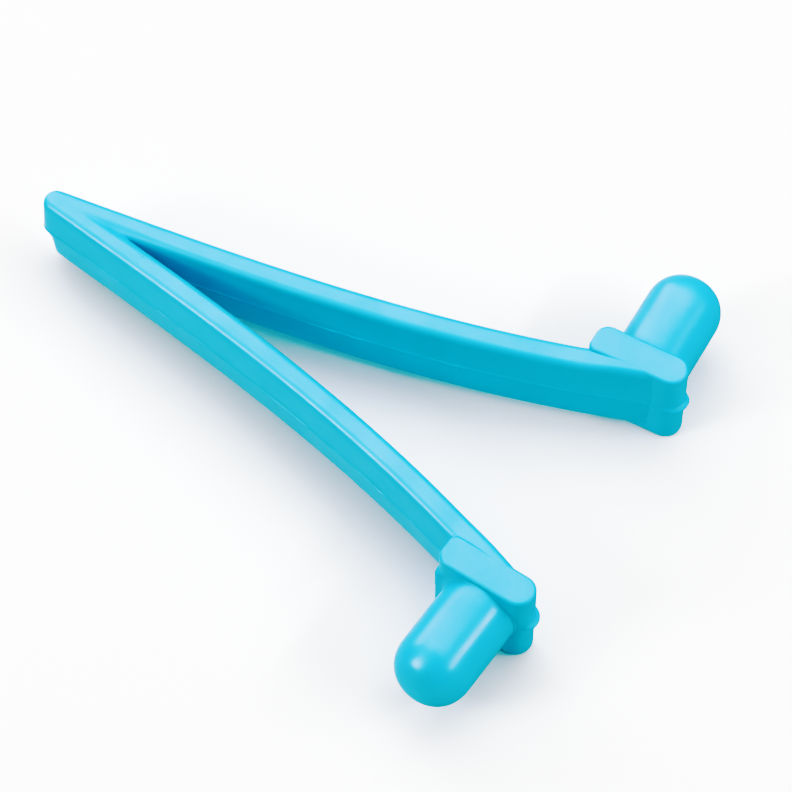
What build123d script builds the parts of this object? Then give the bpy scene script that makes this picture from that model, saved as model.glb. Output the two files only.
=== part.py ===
from build123d import *
from math import cos, hypot, radians, sin
import os

# A V-shaped spring clip for a pool handle. Two springy arms meet at a rounded apex, and
# each ends in a raised head with a round-ended pin that points outwards, through the holes
# of a pole. The real clip is one moulding, so each arm is divided where it bends: a rounded
# knuckle turns in a shallow seat at the root of the arm and again half way along it.
#
# Millimetres. +X runs from the apex to the heads, +Y is the clip's left side, +Z is up, and
# the origin is on the resting plane, at the middle of the clip. A station is a distance
# along X from the point where the arms' straight roots start.

# Arms: the middle of an arm follows y = offset + slope * s + curl * s^3 at station s.
arm_offset = 0.33
arm_slope = 0.1403
arm_curl = 2.731e-5
arm_height = 8.0
root_half_thickness = 1.2
thickening = 0.003
arm_end = 58.2
top_rounding = 0.6
under_rounding = 0.4

# Mould halves: the lower half stands in a little from the upper half at the parting plane.
parting_height = 3.8
parting_step = 0.12
head_parting_step = 0.04

# Apex
nose_reach = 3.2
lower_nose_reach = 2.5
crotch_station = 6.8

# Flex points of each arm
root_flex_station = 15.0
mid_flex_station = 35.0
knuckle_radius = 1.1
knuckle_rounding = 0.35
running_clearance = 0.05
seat_setback = 0.65

# Heads: the plates that the pins stand on. Pin and plate lean together towards the apex, so
# they stand square once the arms are squeezed a little, as they are inside a tube.
pin_station = 55.4
shoulder_y = 15.4
lean = 2.7
head_back = 5.05
head_front = 4.6
head_thickness = 3.3
head_drop = 1.0
head_rise = 0.4
head_end_radius = 1.6
head_corner_radius = 1.3
lower_corner_radius = 0.35
corner_step_height = 7.0
head_top_rounding = 0.3
head_under_rounding = 0.3

# Tab of moulding flash at the end of each head, in the parting plane
tab_reach = 0.5
tab_radius = 1.6
tab_thickness = 0.5

# Pins
pin_radius = 3.7
pin_height = 4.3
pin_length = 10.6
pin_tip_flat = 0.25

# Worked out from the dimensions above
tab_centre = head_front + tab_reach - tab_radius
lean_sin, lean_cos = sin(radians(lean)), cos(radians(lean))
tab_end = pin_station + tab_centre * lean_cos + head_thickness / 2 * lean_sin + tab_radius
station_x = nose_reach - (nose_reach + tab_end) / 2
arm_under = head_drop
arm_top = arm_under + arm_height
parting_z = arm_under + parting_height
head_top = arm_top + head_rise
head_length = head_front + head_back
head_centre = ((head_front - head_back) / 2, -head_thickness / 2)
upper_half = (parting_z, arm_top - parting_z, 0, nose_reach)
lower_half = (arm_under, parting_height, parting_step, lower_nose_reach)


def middle_y(station):
    return arm_offset + arm_slope * station + arm_curl * station**3


def wall_y(station, side, inset):
    """Y of an arm's outer (side 1) or inner (side -1) wall."""
    half = root_half_thickness + thickening * station
    return middle_y(station) + side * (half - inset)


def wall_slope(station, side):
    return arm_slope + side * thickening + 3 * arm_curl * station**2


def wall_points(start, end, side, inset):
    """The four control points of the cubic that an arm's wall follows."""
    third = (end - start) / 3
    first = wall_y(start, side, inset)
    last = wall_y(end, side, inset)
    return [
        (station_x + start, first),
        (station_x + start + third, first + third * wall_slope(start, side)),
        (station_x + end - third, last - third * wall_slope(end, side)),
        (station_x + end, last),
    ]


def mirrored(points):
    return [(x, -y) for x, y in points]


def nose_circle(reach, inset):
    """Centre station and radius of the arc that touches both outer walls."""
    slope = wall_slope(0, 1)
    wall_at_nose = wall_y(0, 1, inset) - slope * reach
    radius = wall_at_nose / (hypot(1, slope) - slope)
    return radius - reach, radius


def arm_bar(start, end):
    """One arm between two stations, with its long edges rounded."""
    with BuildPart() as bar:
        for base, height, inset, _ in (upper_half, lower_half):
            with BuildSketch(Plane.XY.offset(base)):
                with BuildLine():
                    outer = Bezier(*wall_points(start, end, 1, inset))
                    inner = Bezier(*wall_points(start, end, -1, inset))
                    Line(outer @ 0, inner @ 0)
                    Line(outer @ 1, inner @ 1)
                make_face()
            extrude(amount=height)
        fillet(bar.edges().group_by(Axis.Z)[-1].sort_by(SortBy.LENGTH)[-2:], top_rounding)
        fillet(bar.edges().group_by(Axis.Z)[0].sort_by(SortBy.LENGTH)[-2:], under_rounding)
    return bar.part


def flex_plane(station):
    """The plane at the arm's underside, centred on a flex point."""
    return Plane((station_x + station, middle_y(station), arm_under))


def knuckle(station):
    """The rounded end that turns at a flex point."""
    with BuildPart() as post:
        with BuildSketch(flex_plane(station)):
            Circle(knuckle_radius)
        extrude(amount=arm_height)
        fillet(post.edges().filter_by(GeomType.CIRCLE), knuckle_rounding)
    return post.part


def seat(station):
    """The space that a knuckle turns in."""
    with BuildPart() as space:
        with BuildSketch(flex_plane(station)):
            Circle(knuckle_radius + running_clearance)
        extrude(amount=arm_height)
    return space.part


def head_plane(z):
    """The left head's level plane: x along the plate, y outwards, centred below the pin."""
    return Plane((station_x + pin_station, shoulder_y, z), x_dir=(lean_cos, lean_sin, 0))


def finish(piece, name):
    piece.part.label = name
    export_step(piece.part, f"parts/{name}.step")


os.makedirs("parts", exist_ok=True)

# The apex holds the roots of both arms, joined by a rounded nose. Its gap is open to +X.
root_end = root_flex_station - seat_setback
with BuildPart() as apex:
    for base, height, inset, reach in (upper_half, lower_half):
        nose_centre, nose_radius = nose_circle(reach, inset)
        touch = nose_centre - nose_radius * sin(wall_slope(0, 1))
        outer_points = wall_points(touch, root_end, 1, inset)
        inner_points = wall_points(crotch_station, root_end, -1, inset)
        with BuildSketch(Plane.XY.offset(base)):
            with BuildLine():
                left_outer = Bezier(*outer_points)
                left_inner = Bezier(*inner_points)
                right_outer = Bezier(*mirrored(outer_points))
                right_inner = Bezier(*mirrored(inner_points))
                ThreePointArc(left_outer @ 0, (station_x - reach, 0), right_outer @ 0)
                Line(left_inner @ 0, right_inner @ 0)
                Line(left_outer @ 1, left_inner @ 1)
                Line(right_outer @ 1, right_inner @ 1)
            make_face()
        extrude(amount=height)
    add(seat(root_flex_station), mode=Mode.SUBTRACT)
    mirror(seat(root_flex_station), about=Plane.XZ, mode=Mode.SUBTRACT)
finish(apex, "apex")

# The inner arm turns at the root flex point and holds the seat of the mid flex point.
with BuildPart() as left_inner_arm:
    add(arm_bar(root_flex_station, mid_flex_station - seat_setback))
    add(knuckle(root_flex_station))
    add(seat(mid_flex_station), mode=Mode.SUBTRACT)

# The head is a rounded plate, taller than the arm, and its back outer corner is squarer low
# down. The parting tab stands out at its end.
with BuildPart() as left_head:
    for base, top, inset, corner in (
        (corner_step_height, head_top, 0, head_corner_radius),
        (parting_z, corner_step_height, 0, lower_corner_radius),
        (0, parting_z, head_parting_step, lower_corner_radius),
    ):
        with BuildSketch(head_plane(base)) as plate:
            with Locations(head_centre):
                Rectangle(head_length - 2 * inset, head_thickness - 2 * inset)
            corners = plate.vertices().sort_by(Axis.X)
            fillet(corners[2:], head_end_radius - inset)
            fillet(corners[:2].sort_by(Axis.Y)[-1], corner)
        extrude(amount=top - base)
    fillet(left_head.edges().group_by(Axis.Z)[-1], head_top_rounding)
    fillet(left_head.edges().group_by(Axis.Z)[0], head_under_rounding)
    with BuildSketch(head_plane(parting_z - tab_thickness / 2)):
        with Locations((tab_centre, -head_thickness / 2)):
            Circle(tab_radius)
    extrude(amount=tab_thickness)

# The outer arm turns at the mid flex point and runs into the inner side of the head.
with BuildPart() as left_outer_arm:
    add(arm_bar(mid_flex_station, arm_end))
    add(knuckle(mid_flex_station))
    add(left_head.part, mode=Mode.SUBTRACT)

# The pin stands square on the plate.
pin_base = (station_x + pin_station, shoulder_y, arm_under + pin_height)
with BuildPart() as left_pin:
    with BuildSketch(Plane(pin_base, x_dir=(0, 0, 1), z_dir=(-lean_sin, lean_cos, 0))):
        Circle(pin_radius)
    extrude(amount=pin_length)
    fillet(left_pin.edges().sort_by(Axis.Y)[-1], pin_radius - pin_tip_flat)

# The right side is the left side mirrored.
for name, left_piece in (
    ("inner_arm", left_inner_arm),
    ("outer_arm", left_outer_arm),
    ("head", left_head),
    ("pin", left_pin),
):
    with BuildPart() as right_piece:
        mirror(left_piece.part, about=Plane.XZ)
    finish(left_piece, f"left_{name}")
    finish(right_piece, f"right_{name}")
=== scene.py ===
from collections import namedtuple
from math import cos, hypot, pi, radians, sin, sqrt

import bmesh
import bpy
from mathutils import Matrix, Vector


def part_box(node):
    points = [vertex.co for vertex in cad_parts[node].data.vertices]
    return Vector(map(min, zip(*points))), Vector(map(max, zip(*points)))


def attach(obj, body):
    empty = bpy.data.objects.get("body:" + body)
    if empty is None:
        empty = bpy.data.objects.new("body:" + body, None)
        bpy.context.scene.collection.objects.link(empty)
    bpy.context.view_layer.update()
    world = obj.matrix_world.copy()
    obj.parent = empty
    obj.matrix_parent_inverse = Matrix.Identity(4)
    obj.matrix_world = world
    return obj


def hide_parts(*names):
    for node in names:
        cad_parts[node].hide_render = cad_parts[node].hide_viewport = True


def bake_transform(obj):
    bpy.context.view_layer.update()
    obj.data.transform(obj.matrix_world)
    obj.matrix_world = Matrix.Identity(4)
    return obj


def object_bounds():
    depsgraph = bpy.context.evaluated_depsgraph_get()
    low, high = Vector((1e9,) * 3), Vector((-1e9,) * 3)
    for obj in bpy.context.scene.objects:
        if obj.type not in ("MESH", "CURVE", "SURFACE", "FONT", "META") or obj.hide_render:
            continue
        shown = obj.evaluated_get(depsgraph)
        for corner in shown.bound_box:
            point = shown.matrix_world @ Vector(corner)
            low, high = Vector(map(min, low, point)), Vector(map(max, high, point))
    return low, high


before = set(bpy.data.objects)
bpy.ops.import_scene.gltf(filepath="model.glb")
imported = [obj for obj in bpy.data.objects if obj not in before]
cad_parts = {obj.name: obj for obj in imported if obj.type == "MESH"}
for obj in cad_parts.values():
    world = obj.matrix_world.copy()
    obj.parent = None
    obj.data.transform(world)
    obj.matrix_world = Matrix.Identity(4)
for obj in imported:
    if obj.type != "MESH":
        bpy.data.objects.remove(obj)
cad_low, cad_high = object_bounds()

# A V-shaped spring clip, moulded in one piece of sky-blue plastic. Lengths are millimetres
# until they reach Blender. A station is a distance along X from the point where the arms'
# straight roots start, as in the CAD model.
MM = 0.001

# ---------------------------------------------------------------- shape of the moulding
ARM_OFFSET = 0.33
ARM_SLOPE = 0.1403
ARM_CURL = 2.731e-5
ROOT_HALF_THICKNESS = 1.2
THICKENING = 0.003
NOSE_REACH = 3.2
ARM_END = 58.2
ARM_TOP_ROUNDING = 0.68
ARM_UNDER_ROUNDING = 0.4

# The lower mould half stands in from the upper one at the parting plane, and each half
# slopes with its draft. Outer wall first, then inner wall.
LOWER_STEP = (0.06, 0.02)
LOWER_DRAFT = (0.3, 0.1)
UPPER_DRAFT = (0.06, 0.05)

# The nose: how far it reaches at the parting plane and at the underside, its drafts, and
# how far below the parting plane its undercut starts and ends
UPPER_NOSE_REACH = 3.1
UPPER_NOSE_DRAFT = 0.32
LOWER_NOSE_REACH = 2.12
LOWER_NOSE_DRAFT = 0.4
UNDERCUT_DROPS = (1.25, 0.1)

# The crotch: how softly the inner walls meet, and how much rounder their top edges get there
CROTCH_SOFTNESS = 0.08
GROOVE_SHARE = 0.6
GROOVE_STATIONS = (3.0, 13.0)

# The fin of flash at the parting plane: heights from the plane, and the fin's share there
FLASH_PROFILE = ((-0.09, 0.0), (-0.06, 0.55), (-0.035, 0.95), (0.0, 1.0), (0.035, 0.95),
                 (0.06, 0.5), (0.1, 0.0))
FLASH_REACH = 0.075
FLASH_UNEVENNESS = 0.02
# Stations where the flash was torn off and a burr is left
BURRS = (13.0, 27.8, 30.4, 39.3, 40.6, 45.5)
BURR_REACH = 0.06

ARM_LOW, _, ARM_BOTTOM = (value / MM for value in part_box("apex")[0])
ARM_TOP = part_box("apex")[1][2] / MM
STATION_X = ARM_LOW + NOSE_REACH
PARTING_Z = ARM_BOTTOM + 3.8

HEAD_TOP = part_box("left_head")[1][2] / MM
HEAD_TOP_ROUNDING = 0.3
HEAD_UNDER_ROUNDING = 0.35
PIN_STATION = 55.4
PIN_Z = (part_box("left_pin")[0][2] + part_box("left_pin")[1][2]) / 2 / MM
SHOULDER_Y = 15.4
LEAN = radians(2.7)
HEAD_BACK = 5.05
HEAD_FRONT = 4.6
HEAD_THICKNESS = 3.3
HEAD_FRONT_RADIUS = 1.6
HEAD_INNER_RADIUS = 0.8
BACK_RADIUS_LOW = 0.35
BACK_RADIUS_GROWTH = 0.95
BACK_STEP_Z = PARTING_Z + 2.2
ARM_CLIMB_STATIONS = (49.5, 54.5)

# The tab of flash at a head's end, and the low ridge along its inner side. Each row holds a
# height from the parting plane and the shares of the tab and of the ridge there.
TAB_REACH = 0.49
HEAD_RIDGE = 0.09
TAB_PROFILE = ((-0.22, 0.0, 0.0), (-0.19, 0.6, 0.0), (-0.13, 0.9, 0.2), (-0.07, 0.97, 0.9),
               (0.0, 1.0, 1.0), (0.07, 0.97, 0.9), (0.13, 0.9, 0.2), (0.19, 0.6, 0.0),
               (0.22, 0.0, 0.0))

PIN_RADIUS = 3.7
PIN_LENGTH = 10.6
PIN_DOME = 3.6
DOME_POWER = 2 / 2.2
FILLET_RADIUS = 0.13
FILLET_GROWTH = 0.4

# Places where the skin changes from one piece to the next, and two stretches of each arm listed
# as bends
APEX_SEAM = 9.5
MIDDLE_SEAM = 25.0
ROOT_BEND = (9.5, 22.5)
MIDDLE_BEND = (26.0, 44.0)

# Length of the arms' mesh faces, and the narrow flat rim inside each rounded edge
SEGMENT = 0.5
FLAT_RIM = 0.08

SIDES = {"left": 1, "right": -1}

# ---------------------------------------------------------------- plan of the arms
def middle_y(station):
    """The distance from the centre line to the middle of an arm."""
    return ARM_OFFSET + ARM_SLOPE * station + ARM_CURL * station**3


def half_thickness(station):
    return ROOT_HALF_THICKNESS + THICKENING * station


def smooth(value, start, end):
    """0 at start, 1 at end, with no corner in between."""
    t = min(1.0, max(0.0, (value - start) / (end - start)))
    return t * t * (3 - 2 * t)


def flash_height(station, phase):
    """How far the fin of flash stands out: uneven along the arm, as flash is."""
    wander = sin(0.55 * station + phase) + 0.7 * sin(1.37 * station + 2.1 * phase)
    wander += 0.5 * sin(3.1 * station + 0.7 * phase)
    burr = max(smooth(abs(station - middle), 0.9, 0.2) for middle in BURRS)
    return FLASH_REACH + FLASH_UNEVENNESS * wander + BURR_REACH * burr


# One level of a wall: its height, how far it stands in from the arm's nominal wall on the
# outer and the inner side, how much of the flash ridge it carries, how far the nose reaches,
# and how far the rounding of the top edges has taken it in.
Level = namedtuple("Level", "z outer inner flash nose rounding")


def nose_reach(z):
    """The nose slopes with the draft of the mould and is undercut just below the parting."""
    rise = max(0.0, z - PARTING_Z) / (ARM_TOP - PARTING_Z)
    upper = UPPER_NOSE_REACH - UPPER_NOSE_DRAFT * rise
    lower = LOWER_NOSE_REACH + LOWER_NOSE_DRAFT * (z - ARM_BOTTOM) / (PARTING_Z - ARM_BOTTOM)
    start, end = (PARTING_Z - drop for drop in UNDERCUT_DROPS)
    return lower + (upper - lower) * smooth(z, start, end)


def arm_levels():
    """Levels from the arm's underside to its top. Each mould half has its own draft."""
    levels = []

    def add(z, extra=0.0, flash=0.0):
        if z < PARTING_Z:
            depth = (PARTING_Z - z) / (PARTING_Z - ARM_BOTTOM)
            outer, inner = (step + draft * depth for step, draft in zip(LOWER_STEP, LOWER_DRAFT))
            nose, rounding = nose_reach(z) - extra, 0.0
        else:
            rise = (z - PARTING_Z) / (ARM_TOP - PARTING_Z)
            outer, inner = (-draft * (1 - rise) for draft in UPPER_DRAFT)
            nose, rounding = nose_reach(z) - extra / 2, extra
        levels.append(Level(z, outer + extra, inner + extra, flash, nose, rounding))

    steps = 6
    add(ARM_BOTTOM, ARM_UNDER_ROUNDING + FLAT_RIM)
    for i in range(steps + 1):
        angle = pi / 2 * i / steps
        add(ARM_BOTTOM + ARM_UNDER_ROUNDING * (1 - cos(angle)),
            ARM_UNDER_ROUNDING * (1 - sin(angle)))
    for drop in (2.6, 1.8, 1.3, 1.1, 0.9, 0.7, 0.5, 0.3):
        add(PARTING_Z - drop)
    for offset, share in FLASH_PROFILE:
        add(PARTING_Z + offset, flash=share)
    for rise in (0.4, 1.2, 2.0, 2.8):
        add(PARTING_Z + rise)
    for i in range(steps + 1):
        angle = pi / 2 * i / steps
        add(ARM_TOP - ARM_TOP_ROUNDING * (1 - sin(angle)), ARM_TOP_ROUNDING * (1 - cos(angle)))
    add(ARM_TOP, ARM_TOP_ROUNDING + FLAT_RIM)
    return levels


ARM_LEVELS = arm_levels()


def outer_y(station, level, side):
    """The outer wall's distance from the centre line, with its fin of flash."""
    ridge = level.flash * flash_height(station, 1.3 * side)
    return middle_y(station) + half_thickness(station) - level.outer + ridge


def inner_wall(station, level):
    """The inner wall before the two arms meet. Its top edge is rounder towards the crotch."""
    groove = GROOVE_SHARE * level.rounding * (1 - smooth(station, *GROOVE_STATIONS))
    return middle_y(station) - half_thickness(station) + level.inner + groove


def inner_y(station, level, side):
    """The inner wall's distance from the centre line, rounded where the two walls meet."""
    ridge = level.flash * flash_height(station, 4.0 + side)
    wall = inner_wall(station, level) - ridge
    return sqrt(max(0.0, wall * wall - CROTCH_SOFTNESS**2)) if wall > 0 else 0.0


def crotch_station(level):
    """The station where the inner walls of this level meet on the centre line."""
    low, high = -2.0, 12.0
    for _ in range(50):
        middle = (low + high) / 2
        wall = inner_wall(middle, level)
        low, high = (middle, high) if wall < CROTCH_SOFTNESS else (low, middle)
    return low


# ---------------------------------------------------------------- mesh helpers
def new_object(name, bm):
    """An object in the scene, made from a bmesh that is used up."""
    bmesh.ops.recalc_face_normals(bm, faces=bm.faces)
    mesh = bpy.data.meshes.new(name)
    bm.to_mesh(mesh)
    bm.free()
    obj = bpy.data.objects.new(name, mesh)
    bpy.context.scene.collection.objects.link(obj)
    return obj


def loft(name, rings, sharp_ends=False):
    """A closed mesh through rings of equally many points. The two ends are closed flat."""
    bm = bmesh.new()
    rows = [[bm.verts.new(Vector(p) * MM) for p in ring] for ring in rings]
    count = len(rows[0])
    for row, following in zip(rows, rows[1:]):
        for i in range(count):
            j = (i + 1) % count
            bm.faces.new((row[i], row[j], following[j], following[i]))
    caps = [bm.faces.new(rows[0]), bm.faces.new(rows[-1])]
    for face in bm.faces:
        face.smooth = face not in caps
    if sharp_ends:
        for cap in caps:
            for edge in cap.edges:
                edge.smooth = False
    return new_object(name, bm)


# ---------------------------------------------------------------- the pieces
def raised(z, station):
    """The top of an arm climbs nearly to the head's top where it runs into the head."""
    share = max(0.0, z - PARTING_Z) / (ARM_TOP - PARTING_Z)
    climb = HEAD_TOP - 0.005 - ARM_TOP
    return z + share * climb * smooth(station, *ARM_CLIMB_STATIONS)


def arm_ring(station, side):
    """The section of one arm at a station: up its outer wall and down its inner wall."""
    x = STATION_X + station
    heights = [raised(level.z, station) for level in ARM_LEVELS]
    up = [(x, side * outer_y(station, level, side), z) for level, z in zip(ARM_LEVELS, heights)]
    down = [(x, side * inner_y(station, level, side), z) for level, z in zip(ARM_LEVELS, heights)]
    return up + down[::-1]


def arm_skin(name, start, end, side):
    """The closed skin of one arm between two stations."""
    count = round((end - start) / SEGMENT)
    stations = [start + (end - start) * i / count for i in range(count + 1)]
    return loft(name, [arm_ring(s, side) for s in stations], sharp_ends=True)


def apex_outline(level):
    """The apex's outline at one level: from the left seam round the nose, and up the gap."""
    slope = ARM_SLOPE + THICKENING
    steps, arc_steps = 24, 20
    at_nose = outer_y(0, level._replace(flash=0), 1) - slope * level.nose
    radius = at_nose / (hypot(1, slope) - slope)
    centre = radius - level.nose
    touch = centre - radius * sin(slope)

    def wall(side):
        points = []
        for i in range(steps + 1):
            station = touch + (APEX_SEAM - touch) * i / steps
            points.append((STATION_X + station, side * outer_y(station, level, side), level.z))
        return points

    def gap(side):
        start = crotch_station(level)
        points = []
        for i in range(1, steps + 1):
            station = start + (APEX_SEAM - start) * (i / steps) ** 2
            points.append((STATION_X + station, side * inner_y(station, level, side), level.z))
        return points

    first = pi / 2 + slope
    nose = []
    for i in range(1, arc_steps):
        angle = first + (2 * pi - 2 * first) * i / arc_steps
        ridge = level.flash * flash_height(-3, 1.3)
        nose.append((STATION_X + centre + (radius + ridge) * cos(angle),
                     (radius + ridge) * sin(angle), level.z))
    crotch = [(STATION_X + crotch_station(level), 0.0, level.z)]
    return wall(1)[::-1] + nose + wall(-1) + gap(-1)[::-1] + crotch + gap(1)


def make_apex():
    """The apex, with its two flat seam faces kept sharp."""
    obj = loft("apex_skin", [apex_outline(level) for level in ARM_LEVELS])
    seam = (STATION_X + APEX_SEAM) * MM
    mesh = obj.data
    for face in mesh.polygons:
        if abs(face.normal.x) > 0.999 and abs(face.center.x - seam) < 1e-6:
            face.use_smooth = False
    flat = {key for face in mesh.polygons if not face.use_smooth and abs(face.normal.x) > 0.9
            for key in face.edge_keys}
    rim = {key for face in mesh.polygons if face.use_smooth for key in face.edge_keys}
    for edge in mesh.edges:
        if edge.key in flat and edge.key in rim:
            edge.use_edge_sharp = True
    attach(obj, "apex")
    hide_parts("apex")
    return obj


def make_arm(side_name):
    """The two skins of one arm: one from the apex seam to the middle seam, one from there to the
    arm's end.
    """
    side = SIDES[side_name]
    pieces = []
    for part, start, end, bend, bodies in (
        ("root", APEX_SEAM, MIDDLE_SEAM, ROOT_BEND, ("apex", f"{side_name}_inner")),
        ("tip", MIDDLE_SEAM, ARM_END, MIDDLE_BEND, (f"{side_name}_inner", f"{side_name}_outer")),
    ):
        obj = arm_skin(f"{side_name}_arm_{part}_skin", start, end, side)
        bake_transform(obj)
        pieces.append(obj)
    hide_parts(f"{side_name}_inner_arm")
    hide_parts(f"{side_name}_outer_arm")
    return pieces


def head_point(along, out, side, z):
    """A point of a head: along its plate towards +X, and out from its shoulder face."""
    x = STATION_X + PIN_STATION + along * cos(LEAN) - out * sin(LEAN)
    y = SHOULDER_Y + along * sin(LEAN) + out * cos(LEAN)
    return (x, side * y, z)


# One level of a head: its height, how far it stands in from the plate's outline, the radius
# of its back outer corner, and how much of the tab and the ridge it carries.
HeadLevel = namedtuple("HeadLevel", "z inset back_radius tab ridge")


def head_levels():
    """Levels from the head's underside to its top."""
    levels = []

    def add(z, extra=0.0, tab=0.0, ridge=0.0):
        inset = 0.04 if z < PARTING_Z else 0.0
        roundness = smooth(z, BACK_STEP_Z - 0.2, BACK_STEP_Z + 0.2)
        back_radius = BACK_RADIUS_LOW + BACK_RADIUS_GROWTH * roundness
        levels.append(HeadLevel(z, inset + extra, back_radius, tab, ridge))

    steps = 8
    add(0.0, HEAD_UNDER_ROUNDING + FLAT_RIM)
    for i in range(steps + 1):
        angle = pi / 2 * i / steps
        add(HEAD_UNDER_ROUNDING * (1 - cos(angle)), HEAD_UNDER_ROUNDING * (1 - sin(angle)))
    for drop in (3.2, 2.4, 1.6, 0.9, 0.5):
        add(PARTING_Z - drop)
    for offset, tab, ridge in TAB_PROFILE:
        add(PARTING_Z + offset, tab=tab, ridge=ridge)
    for rise in (0.5, 1.2, 2.0, 2.15, 2.3, 2.45, 3.0, 3.8):
        add(PARTING_Z + rise)
    for i in range(steps + 1):
        angle = pi / 2 * i / steps
        add(HEAD_TOP - HEAD_TOP_ROUNDING * (1 - sin(angle)), HEAD_TOP_ROUNDING * (1 - cos(angle)))
    add(HEAD_TOP, HEAD_TOP_ROUNDING + FLAT_RIM)
    return levels


def head_outline(level, side):
    """A rounded plate in plan, with a round front end that carries the tab of flash."""
    inset = level.inset
    low_u, high_u = inset - HEAD_BACK, HEAD_FRONT - inset
    low_v, high_v = inset - HEAD_THICKNESS, -inset
    corners = (
        (high_u, high_v, HEAD_FRONT_RADIUS - inset, 0),
        (low_u, high_v, max(0.1, level.back_radius - inset), pi / 2),
        (low_u, low_v, max(0.1, HEAD_INNER_RADIUS - inset), pi),
        (high_u, low_v, HEAD_FRONT_RADIUS - inset, 3 * pi / 2),
    )
    points = []
    arc_steps, straight_steps = 12, 8
    arcs = []
    for u, v, radius, first in corners:
        front, outside = first in (0, 3 * pi / 2), first in (0, pi / 2)
        centre_u = u - radius if front else u + radius
        centre_v = v - radius if outside else v + radius
        arc = []
        for i in range(arc_steps + 1):
            angle = first + pi / 2 * i / arc_steps
            reach = radius
            if front:
                outwards = max(0.0, sin(angle))
                shift = TAB_REACH * level.tab * (1 - smooth(outwards, 0.1, 0.9))
                tab = shift * cos(angle) + sqrt(radius**2 - (shift * sin(angle)) ** 2)
                reach = max(radius, tab)
            reach += HEAD_RIDGE * level.ridge * max(0.0, -sin(angle))
            arc.append((centre_u + reach * cos(angle), centre_v + reach * sin(angle)))
        arcs.append(arc)
    for arc, following in zip(arcs, arcs[1:] + arcs[:1]):
        points += arc
        (u0, v0), (u1, v1) = arc[-1], following[0]
        for i in range(1, straight_steps):
            share = i / straight_steps
            points.append((u0 + (u1 - u0) * share, v0 + (v1 - v0) * share))
    return [head_point(u, v, side, level.z) for u, v in points]


def make_head(side_name):
    side = SIDES[side_name]
    obj = loft(f"{side_name}_head_skin", [head_outline(level, side) for level in head_levels()])
    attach(obj, f"{side_name}_outer")
    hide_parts(f"{side_name}_head")
    return obj


def pin_fillet(angle):
    """Radius of the fillet at the pin's root: it only grows towards the apex."""
    return FILLET_RADIUS + FILLET_GROWTH * max(0.0, -cos(angle)) ** 2


def make_pin(side_name):
    """A pin from inside its head out to its dome, which is a little fuller than round."""
    side = SIDES[side_name]
    turns, fillet_steps, dome_steps, body_steps = 96, 7, 20, 14

    def ring(radius_at, out_at):
        points = []
        for i in range(turns):
            angle = 2 * pi * i / turns
            radius, out = radius_at(angle), out_at(angle)
            points.append(head_point(radius * cos(angle), out, side, PIN_Z + radius * sin(angle)))
        return points

    rings = [ring(lambda a: PIN_RADIUS - 0.6, lambda a: -0.9),
             ring(lambda a: PIN_RADIUS + pin_fillet(a), lambda a: -0.5)]
    for i in range(fillet_steps + 1):
        turn = pi / 2 * i / fillet_steps
        rings.append(ring(lambda a, t=turn: PIN_RADIUS + pin_fillet(a) * (1 - sin(t)),
                          lambda a, t=turn: pin_fillet(a) * (1 - cos(t))))
    straight_start, straight_end = 0.5, PIN_LENGTH - PIN_DOME
    for i in range(1, body_steps + 1):
        out = straight_start + (straight_end - straight_start) * i / body_steps
        rings.append(ring(lambda a: PIN_RADIUS, lambda a, o=out: o))
    for i in range(1, dome_steps):
        turn = pi / 2 * i / dome_steps
        rings.append(ring(lambda a, t=turn: PIN_RADIUS * cos(t) ** DOME_POWER,
                          lambda a, t=turn: straight_end + PIN_DOME * sin(t) ** DOME_POWER))
    obj = loft(f"{side_name}_pin_skin", rings)
    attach(obj, f"{side_name}_outer")
    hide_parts(f"{side_name}_pin")
    return obj


# ---------------------------------------------------------------- material
def clip_plastic():
    """Satin sky-blue moulded plastic, with faint flow marks, wear and orange peel."""
    material = bpy.data.materials.new("clip_plastic")
    material.use_nodes = True
    nodes, links = material.node_tree.nodes, material.node_tree.links
    shader = nodes["Principled BSDF"]
    shader.inputs["IOR"].default_value = 1.49
    shader.inputs["Specular IOR Level"].default_value = 0.5

    place = nodes.new("ShaderNodeTexCoord")

    def noise(scale, detail, roughness=0.5):
        node = nodes.new("ShaderNodeTexNoise")
        node.inputs["Scale"].default_value = scale
        node.inputs["Detail"].default_value = detail
        node.inputs["Roughness"].default_value = roughness
        links.new(place.outputs["Object"], node.inputs["Vector"])
        return node

    def ramp(source, stops):
        node = nodes.new("ShaderNodeValToRGB")
        elements = node.color_ramp.elements
        for element, (position, colour) in zip(elements, stops):
            element.position, element.color = position, colour
        links.new(source, node.inputs["Fac"])
        return node

    flow = noise(160, 4)
    deep_blue, light_blue = (0.140, 0.385, 0.620, 1), (0.155, 0.410, 0.655, 1)
    colour = ramp(flow.outputs["Fac"], ((0.35, deep_blue), (0.65, light_blue)))
    links.new(colour.outputs["Color"], shader.inputs["Base Color"])

    wear = noise(420, 6, 0.6)
    glossy, worn = (0.28, 0.28, 0.28, 1), (0.4, 0.4, 0.4, 1)
    gloss = ramp(wear.outputs["Fac"], ((0.3, glossy), (0.7, worn)))
    links.new(gloss.outputs["Color"], shader.inputs["Roughness"])

    peel = noise(2600, 3)
    bump = nodes.new("ShaderNodeBump")
    bump.inputs["Strength"].default_value = 0.06
    bump.inputs["Distance"].default_value = 0.00005
    links.new(peel.outputs["Fac"], bump.inputs["Height"])
    links.new(bump.outputs["Normal"], shader.inputs["Normal"])
    return material


# ---------------------------------------------------------------- stage, lights and camera
LIGHT_DISTANCE = 0.45
DIM, PALE = 0.04, 0.26

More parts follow.
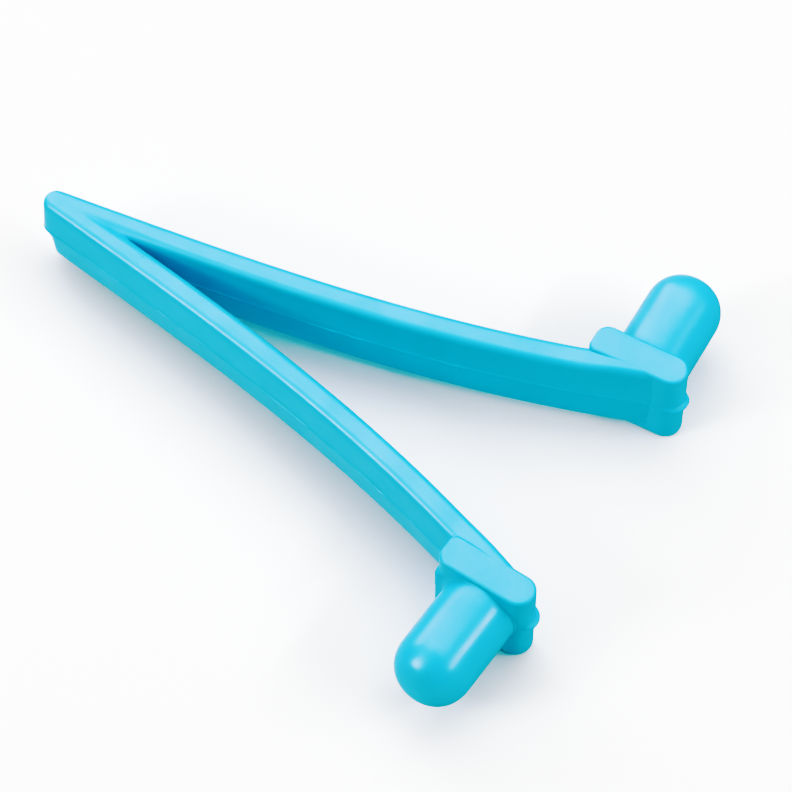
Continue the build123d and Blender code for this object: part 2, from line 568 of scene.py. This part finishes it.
# Rectangular lamps: the direction that each one stands in, the direction of its long side,
# its length and width in metres, and its radiance in W/m2/sr
LAMPS = (
    ("window_back", (-0.12, 0.42, 0.88), (1, 0, 0), 0.56, 0.34, 0.9),
    ("window_left", (-0.80, 0.40, 0.42), (0, 1, 0), 0.30, 0.24, 1.1),
    ("window_right", (0.74, 0.30, 0.58), (0, 1, 0), 0.34, 0.20, 0.6),
    ("strip_right", (0.80, 0.17, 0.55), (0, 1, 0), 0.30, 0.03, 9.0),
    ("window_front", (-0.36, -0.36, 0.86), (1, 0, 0), 0.34, 0.34, 0.45),
    ("lamp_front_left", (-0.50, -0.71, 0.50), (0, 0, 1), 0.14, 0.14, 4.2),
)
# Cards that only show as a sheen on the plastic, in the same form
CARDS = (
    ("card_front_left", (-0.46, -0.60, 0.65), (0, 0, 1), 0.34, 0.30, 2.4),
    ("card_back", (-0.15, 0.45, 0.80), (1, 0, 0), 1.00, 0.60, 0.38),
)
CARD_LAYERS = 4
CARD_STEP = 0.22

# Shade in the scene, and what red and the other two channels turn it into
TONES = (
    (0.02, 0.0, 0.07), (0.045, 0.002, 0.17), (0.075, 0.02, 0.30), (0.11, 0.25, 0.42),
    (0.16, 0.51, 0.54), (0.22, 0.68, 0.68), (0.3, 0.84, 0.84), (0.4, 0.95, 0.95),
    (0.48, 1.0, 1.0),
)


def floor_material():
    material = bpy.data.materials.new("floor_paper")
    material.use_nodes = True
    shader = material.node_tree.nodes["Principled BSDF"]
    shader.inputs["Base Color"].default_value = (0.88, 0.88, 0.88, 1)
    shader.inputs["Roughness"].default_value = 0.9
    return material


def make_floor():
    """A pale floor that the plastic doesn't mirror."""
    bm = bmesh.new()
    bmesh.ops.create_grid(bm, x_segments=1, y_segments=1, size=1.5)
    obj = new_object("floor", bm)
    obj.data.materials.append(floor_material())
    obj.visible_glossy = False


def softbox(name, direction, long_axis, length, width, radiance):
    """A rectangular lamp that faces the clip from a direction."""
    data = bpy.data.lights.new(name, "AREA")
    data.shape = "RECTANGLE"
    data.size, data.size_y = length, width
    data.energy = radiance * pi * length * width
    towards = Vector(direction).normalized()
    across = towards.cross(Vector(long_axis)).normalized()
    along = across.cross(towards)
    lamp = bpy.data.objects.new(name, data)
    lamp.location = towards * LIGHT_DISTANCE
    lamp.rotation_mode = "QUATERNION"
    lamp.rotation_quaternion = Matrix((along, across, towards)).transposed().to_quaternion()
    bpy.context.scene.collection.objects.link(lamp)
    return lamp


def reflector(name, direction, long_axis, length, width, radiance):
    """A card that only shows as a sheen on the plastic, in layers that fade its edges."""
    for layer in range(CARD_LAYERS):
        share = 1 - layer * CARD_STEP
        card = softbox(f"{name}_{layer}", direction, long_axis, length * share,
                       width * share, radiance / CARD_LAYERS)
        card.visible_diffuse = False


def make_lights():
    for lamp in LAMPS:
        softbox(*lamp)
    for card in CARDS:
        reflector(*card)


def make_world():
    """Dim all round, but pale low on the left, where the plastic's near walls mirror it."""
    world = bpy.data.worlds.new("studio")
    world.use_nodes = True
    nodes, links = world.node_tree.nodes, world.node_tree.links

    def map_range(source, start, end, low, high):
        node = nodes.new("ShaderNodeMapRange")
        for name, value in (("From Min", start), ("From Max", end),
                            ("To Min", low), ("To Max", high)):
            node.inputs[name].default_value = value
        links.new(source, node.inputs["Value"])
        return node.outputs["Result"]

    direction = nodes.new("ShaderNodeSeparateXYZ")
    links.new(nodes.new("ShaderNodeTexCoord").outputs["Generated"], direction.inputs["Vector"])
    both = nodes.new("ShaderNodeMath")
    both.operation = "MULTIPLY"
    links.new(map_range(direction.outputs["X"], -0.05, -0.35, 0, 1), both.inputs[0])
    links.new(map_range(direction.outputs["Z"], 0, -0.2, 0, 1), both.inputs[1])
    background = nodes["Background"]
    background.inputs["Color"].default_value = (1, 1, 1, 1)
    links.new(map_range(both.outputs["Value"], 0, 1, DIM, PALE), background.inputs["Strength"])
    bpy.context.scene.world = world


def set_tones():
    """The grading of a product photograph: a white floor, and cyan that deepens in shade."""
    view = bpy.context.scene.view_settings
    view.view_transform = "Standard"
    view.use_curve_mapping = True
    curves = view.curve_mapping
    for shade, red, green_blue in TONES:
        for channel, result in enumerate((red, green_blue, green_blue)):
            curves.curves[channel].points.new(shade, result)
    curves.update()


def make_camera():
    """A long lens that looks down on the near side, from a little towards the heads."""
    azimuth, elevation, distance = radians(31.87), radians(56.96), 329.7
    middle = (cad_low + cad_high) / 2
    aim = middle + Vector((7.55, 1.14, -1.33)) * MM
    back = Vector((sin(azimuth) * cos(elevation), -cos(azimuth) * cos(elevation), sin(elevation)))
    data = bpy.data.cameras.new("camera")
    data.lens = 158.4
    data.sensor_width = 36
    data.clip_start = 0.01
    camera = bpy.data.objects.new("camera", data)
    camera.location = aim + back * distance * MM
    camera.rotation_mode = "QUATERNION"
    camera.rotation_quaternion = (-back).to_track_quat("-Z", "Y")
    bpy.context.scene.collection.objects.link(camera)
    bpy.context.scene.camera = camera


make_camera()
make_lights()
make_world()
make_floor()
set_tones()
plastic = clip_plastic()
skins = [make_apex()]
for side_name in SIDES:
    skins += make_arm(side_name)
    skins += [make_head(side_name), make_pin(side_name)]
for skin in skins:
    skin.data.materials.append(plastic)
